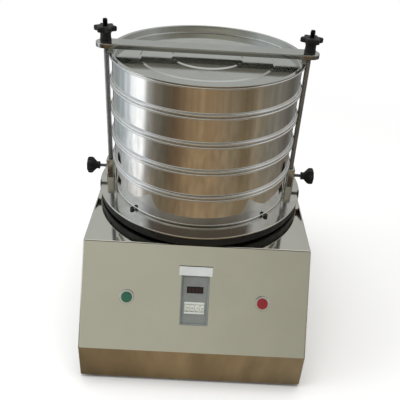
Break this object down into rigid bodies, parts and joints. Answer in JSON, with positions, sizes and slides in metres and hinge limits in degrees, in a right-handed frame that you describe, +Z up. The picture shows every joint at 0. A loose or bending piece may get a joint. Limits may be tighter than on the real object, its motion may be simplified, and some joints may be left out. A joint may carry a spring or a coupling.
{
  "type": "vibrating sieve",
  "caption": "Table-top sieve shaker: sloped control housing, sprung vibrating tray with unbalance motor, clamped stack of sieves with pan and lid.",
  "frame": {"origin": "on the table under the middle of the machine's overall box", "axes": "+Z up along the sieve stack, the control panel faces -Y, +X to the operator's right"},
  "size_m": [0.405, 0.448, 0.5125],
  "materials": {
    "polished_steel": "mirror-polished stainless steel",
    "panel_steel": "polished stainless sheet",
    "mesh_steel": "stainless woven wire or punched sheet",
    "rod_steel": "drawn steel, threaded at the top",
    "spring_steel": "spring steel",
    "black_casting": "black enamel on a casting",
    "weight_iron": "machined grey iron",
    "motor_aluminium": "die-cast aluminium",
    "motor_steel": "laminated or turned steel",
    "knob_plastic": "black moulded plastic",
    "timer_plastic": "grey moulded plastic",
    "label_plastic": "plain light strip",
    "window_plastic": "dark tinted display window",
    "wheel_plastic": "off-white plastic",
    "contact_plastic": "moulded switch block",
    "green_plastic": "green button cap",
    "red_plastic": "red button cap",
    "foot_rubber": "black rubber"
  },
  "bodies": {
    "base": {"base_housing": "panel_steel", "rear_cover": "panel_steel", "bottom_plate": "panel_steel", "cable_gland": "knob_plastic", "cover_screws": "polished_steel", "rubber_feet": "foot_rubber", "terminal_block": "contact_plastic", "timer_body": "timer_plastic", "timer_face": "timer_plastic", "timer_window": "window_plastic", "label_strip": "label_plastic", "wheel_axle": "motor_steel", "start_bezel": "polished_steel", "stop_bezel": "polished_steel", "start_contact_block": "contact_plastic", "stop_contact_block": "contact_plastic", "spring_pedestals": "motor_steel", "support_springs": "spring_steel"},
    "platform": {"vibrating_plate": "black_casting", "tray_disc": "polished_steel", "tray_bolts": "black_casting", "motor_bell": "motor_steel", "motor_housing": "motor_aluminium", "motor_end_cover": "motor_aluminium", "motor_bolts": "motor_steel", "stator_core": "motor_steel", "motor_bearings": "motor_steel", "clamp_post_left": "polished_steel", "clamp_post_right": "polished_steel", "clamp_rod_left": "rod_steel", "clamp_rod_right": "rod_steel"},
    "rotor": {"motor_shaft": "motor_steel", "rotor_core": "motor_steel", "upper_weight": "weight_iron", "lower_weight": "weight_iron"},
    "pan": {"receiver_pan": "polished_steel"},
    "sieve_4": {"sieve_4_frame": "polished_steel", "sieve_4_mesh": "mesh_steel"},
    "sieve_3": {"sieve_3_frame": "polished_steel", "sieve_3_mesh": "mesh_steel"},
    "sieve_2": {"sieve_2_frame": "polished_steel", "sieve_2_mesh": "mesh_steel"},
    "sieve_1": {"sieve_1_frame": "polished_steel", "sieve_1_mesh": "mesh_steel"},
    "stack_lid": {"lid": "polished_steel"},
    "clamp": {"clamp_bar": "polished_steel", "bar_washers": "polished_steel"},
    "knob_left": {"top_knob_left": "knob_plastic"},
    "knob_right": {"top_knob_right": "knob_plastic"},
    "lock_left": {"side_knob_left": "knob_plastic", "side_screw_left": "rod_steel"},
    "lock_right": {"side_knob_right": "knob_plastic", "side_screw_right": "rod_steel"},
    "start_cap": {"start_button": "green_plastic"},
    "stop_cap": {"stop_button": "red_plastic"},
    "wheel_1": {"thumbwheel_1": "wheel_plastic"},
    "wheel_2": {"thumbwheel_2": "wheel_plastic"},
    "wheel_3": {"thumbwheel_3": "wheel_plastic"},
    "wheel_4": {"thumbwheel_4": "wheel_plastic"}
  },
  "joints": [
    {"name": "platform_bounce", "type": "slide", "parent": "base", "child": "platform", "axis": [0, 0, 1], "range_m": [-0.002, 0.002], "stiffness_N_per_m": 40000, "springref_m": 0.0052, "deforming": ["support_springs"]},
    {"name": "rotor_spin", "type": "hinge", "parent": "platform", "child": "rotor", "pos_m": [0, 0.035, 0.12], "axis": [0, 0, 1], "continuous": true},
    {"name": "pan_lift", "type": "slide", "parent": "platform", "child": "pan", "axis": [0, 0, 1], "range_m": [0, 0.06]},
    {"name": "sieve_4_lift", "type": "slide", "parent": "pan", "child": "sieve_4", "axis": [0, 0, 1], "range_m": [0, 0.06]},
    {"name": "sieve_3_lift", "type": "slide", "parent": "sieve_4", "child": "sieve_3", "axis": [0, 0, 1], "range_m": [0, 0.06]},
    {"name": "sieve_2_lift", "type": "slide", "parent": "sieve_3", "child": "sieve_2", "axis": [0, 0, 1], "range_m": [0, 0.06]},
    {"name": "sieve_1_lift", "type": "slide", "parent": "sieve_2", "child": "sieve_1", "axis": [0, 0, 1], "range_m": [0, 0.06]},
    {"name": "lid_lift", "type": "slide", "parent": "sieve_1", "child": "stack_lid", "axis": [0, 0, 1], "range_m": [0, 0.06]},
    {"name": "bar_lift", "type": "slide", "parent": "stack_lid", "child": "clamp", "axis": [0, 0, 1], "range_m": [0, 0.06]},
    {"name": "top_knob_left_turn", "type": "hinge", "parent": "clamp", "child": "knob_left", "pos_m": [-0.161, 0.035, 0.488], "axis": [0, 0, 1], "continuous": true},
    {"name": "side_knob_left_turn", "type": "hinge", "parent": "platform", "child": "lock_left", "pos_m": [-0.181, 0.035, 0.254], "axis": [-1, 0, 0], "continuous": true},
    {"name": "top_knob_right_turn", "type": "hinge", "parent": "clamp", "child": "knob_right", "pos_m": [0.161, 0.035, 0.488], "axis": [0, 0, 1], "continuous": true},
    {"name": "side_knob_right_turn", "type": "hinge", "parent": "platform", "child": "lock_right", "pos_m": [0.181, 0.035, 0.254], "axis": [1, 0, 0], "continuous": true},
    {"name": "start_press", "type": "slide", "parent": "base", "child": "start_cap", "axis": [0, 0.8539, -0.5205], "range_m": [0, 0.003], "stiffness_N_per_m": 800, "springref_m": -0.001},
    {"name": "stop_press", "type": "slide", "parent": "base", "child": "stop_cap", "axis": [0, 0.8539, -0.5205], "range_m": [0, 0.003], "stiffness_N_per_m": 800, "springref_m": -0.001},
    {"name": "thumbwheel_1_turn", "type": "hinge", "parent": "base", "child": "wheel_1", "pos_m": [-0.0117, -0.18021, 0.1262], "axis": [1, 0, 0], "continuous": true},
    {"name": "thumbwheel_2_turn", "type": "hinge", "parent": "base", "child": "wheel_2", "pos_m": [-0.0039, -0.18021, 0.1262], "axis": [1, 0, 0], "continuous": true},
    {"name": "thumbwheel_3_turn", "type": "hinge", "parent": "base", "child": "wheel_3", "pos_m": [0.0039, -0.18021, 0.1262], "axis": [1, 0, 0], "continuous": true},
    {"name": "thumbwheel_4_turn", "type": "hinge", "parent": "base", "child": "wheel_4", "pos_m": [0.0117, -0.18021, 0.1262], "axis": [1, 0, 0], "continuous": true}
  ]
}
